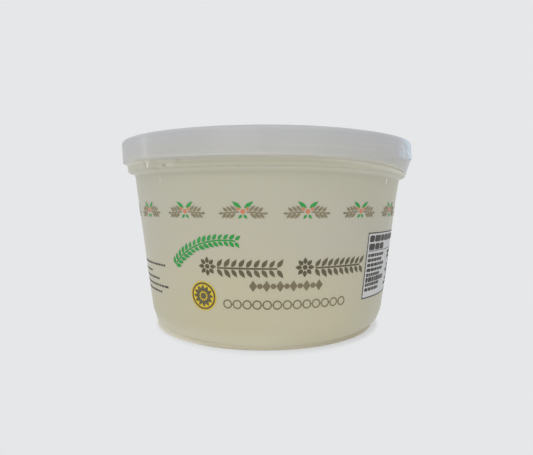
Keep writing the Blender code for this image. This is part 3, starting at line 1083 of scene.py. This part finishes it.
# %% Seal
SEAL = (-22.3, 18.4)
field = Plate()
field.disc(*SEAL, 5.0, 40)
printed("print_seal_yellow", field.mesh("print_seal_yellow"), YELLOW_INK)
marks = Plate()
marks.ring(*SEAL, 4.3, 0.3, 40)
rosette(marks, *SEAL, 3.8, 12, 1.3, 1.1)
printed("print_seal_brown", marks.mesh("print_seal_brown"), BROWN_INK, OVER_INK)

# %% [markdown]
# ## The table panel and the small rows
# Round to the right is a white panel with a dark frame and rows of bars, as a table
# of contents would be laid out, and round to the left a block of thin rows. Bars
# stand for what would be small type. Their lengths come from a seeded random draw.

# %% Panel
PANEL_LEFT, PANEL_RIGHT, PANEL_LOW, PANEL_HIGH = 37.4, 70.0, 15.3, 38.8
draw = random.Random(8)


def level_band(plate, left, right, z, half):
    steps = math.ceil(right - left)
    plate.ribbon([(left + (right - left) * i / steps, z) for i in range(steps + 1)], half)


def row_of_bars(plate, left, right, z, half, shortest, longest, gap):
    """Bars of random length one after another, up to the right end."""
    spot = left
    while spot < right - shortest:
        end = min(spot + draw.uniform(shortest, longest), right)
        plate.bar(spot, end, z, half)
        spot = end + gap


ground = Plate()
level_band(ground, PANEL_LEFT, PANEL_RIGHT, (PANEL_LOW + PANEL_HIGH) / 2,
           (PANEL_HIGH - PANEL_LOW) / 2)
printed("print_panel_white", ground.mesh("print_panel_white"), WHITE_INK)

table = Plate()
level_band(table, PANEL_LEFT, PANEL_RIGHT, PANEL_HIGH - 0.2, 0.2)
level_band(table, PANEL_LEFT, PANEL_RIGHT, PANEL_LOW + 0.2, 0.2)
for edge in (PANEL_LEFT + 0.2, PANEL_RIGHT - 0.2):
    table.ribbon([(edge, PANEL_LOW + 0.4), (edge, PANEL_HIGH - 0.4)], 0.2)
row_of_bars(table, PANEL_LEFT + 1.2, PANEL_RIGHT - 1.4, 36.6, 1.15, 2.6, 4.2, 0.4)
row_of_bars(table, PANEL_LEFT + 1.2, PANEL_LEFT + 14.0, 33.7, 1.15, 2.6, 4.2, 0.4)
level_band(table, PANEL_LEFT + 1.2, PANEL_RIGHT - 1.4, 32.2, 0.1)
for row in range(8):
    z = 30.7 - 1.75 * row
    thick = 0.9 if row == 5 else 0.58
    row_of_bars(table, PANEL_LEFT + 1.2, PANEL_LEFT + draw.uniform(11, 16), z, thick,
                1.0, 2.6, 0.32)
    row_of_bars(table, PANEL_RIGHT - draw.uniform(8, 14), PANEL_RIGHT - 1.4, z, thick,
                1.0, 2.6, 0.4)
printed("print_panel_marks", table.mesh("print_panel_marks"), BLACK_INK, OVER_INK)

# %% Small rows
rows = Plate()
for z, right in ((27.1, -40.0), (24.2, -52.0), (21.8, -45.5), (19.3, -39.5), (17.0, -44.5)):
    row_of_bars(rows, -72.0, right, z, 0.36, 0.9, 2.8, 0.45)
printed("print_small_rows", rows.mesh("print_small_rows"), BLACK_INK)

# %% [markdown]
# ## Floor, light and camera
# The tub stands on a plain pale floor that runs into an equally pale background. The
# floor is mostly self-lit, like a light table, and only its matte part takes shadow.
# Soft light comes from all round. Two large panels stand in front, a narrow strip at
# the left and a cool window at the right draw the sheen on the lid's ends, and two
# small lamps catch the lid's crown.

# %% Floor
PALE = "#E6E7E8"


def pale_floor():
    material = bpy.data.materials.new("pale_sweep")
    material.use_nodes = True
    tree = material.node_tree
    tree.nodes.clear()
    place = add(tree, "ShaderNodeTexCoord").outputs["Object"]
    distance = add(tree, "ShaderNodeVectorMath", {0: place}, operation="LENGTH").outputs[1]
    x = add(tree, "ShaderNodeSeparateXYZ", {0: place}).outputs[0]
    side = add(tree, "ShaderNodeMath", {0: x}, operation="ABSOLUTE")
    reach = between(tree, side, 0.010, 0.044, 0.0508, 0.0472)
    near = between(tree, distance, 0.0450, reach)
    grain = noise(tree, place, 60.0)
    paper = blend(tree, grain, "#A8AAAD", "#A9ABAE")
    matte = add(tree, "ShaderNodeBsdfDiffuse", {"Color": paper})
    glow = add(tree, "ShaderNodeEmission", {"Color": colour(PALE), "Strength": 0.50})
    lit = add(tree, "ShaderNodeAddShader", {0: matte, 1: glow})
    far = add(tree, "ShaderNodeEmission", {"Color": colour(PALE), "Strength": 1.0})
    mixed = add(tree, "ShaderNodeMixShader", {0: near, 1: lit, 2: far})
    add(tree, "ShaderNodeOutputMaterial", {0: mixed})
    return material


sheet = Plate()
sheet.disc(0.0, 0.0, 3000.0 / 1000, 96)
floor_mesh = bpy.data.meshes.new("floor")
floor_mesh.from_pydata([(x, z, 0.0) for x, _, z in sheet.points], [], sheet.faces)
floor_mesh.materials.append(pale_floor())
floor = bpy.data.objects.new("floor", floor_mesh)
bpy.context.scene.collection.objects.link(floor)

# %% World and lights
world = bpy.data.worlds.new("soft_studio")
world.use_nodes = True
background = world.node_tree.nodes["Background"]
background.inputs["Color"].default_value = colour(PALE)
background.inputs["Strength"].default_value = 1.0
bpy.context.scene.world = world
bpy.context.scene.view_settings.view_transform = "Standard"


def softbox(name, place, target, width, height, power, tint):
    data = bpy.data.lights.new(name, "AREA")
    data.shape = "RECTANGLE"
    data.size, data.size_y = width, height
    data.energy = power
    data.color = colour(tint)[:3]
    lamp = bpy.data.objects.new(name, data)
    bpy.context.scene.collection.objects.link(lamp)
    lamp.location = place
    lamp.visible_camera = False
    aim = [t - p for t, p in zip(target, place)]
    lamp.rotation_euler = Vector(aim).to_track_quat("-Z", "Y").to_euler()


CENTRE = (0.0, 0.0, 0.04)
softbox("front_left_panel", (-0.28, -0.73, 0.20), CENTRE, 0.50, 0.50, 1.0, "#FFFDF8")
softbox("front_panel", (0.26, -0.74, 0.20), CENTRE, 0.50, 0.50, 0.50, "#FFFFFF")
softbox("left_strip", (-0.545, 0.077, 0.16), CENTRE, 0.05, 0.24, 0.12, "#F4F8FF")
softbox("right_window", (0.446, 0.40, 0.20), CENTRE, 0.40, 0.25, 0.17, "#89D1FF")
softbox("crown_light_left", (-0.275, -0.327, 0.416), CENTRE, 0.06, 0.015, 0.22, "#FFFFFF")
softbox("crown_light_right", (0.056, -0.424, 0.416), CENTRE, 0.06, 0.015, 0.22, "#FFFFFF")

# %% Camera
camera_data = bpy.data.cameras.new("camera")
camera_data.lens = 29.73
camera_data.sensor_width = 36.0
camera_data.clip_start = 0.01
camera = bpy.data.objects.new("camera", camera_data)
camera.location = (-0.000235, -0.188, 0.0487)
camera.rotation_euler = (math.pi / 2 - 0.0535, 0.0, 0.0)
bpy.context.scene.collection.objects.link(camera)
bpy.context.scene.camera = camera
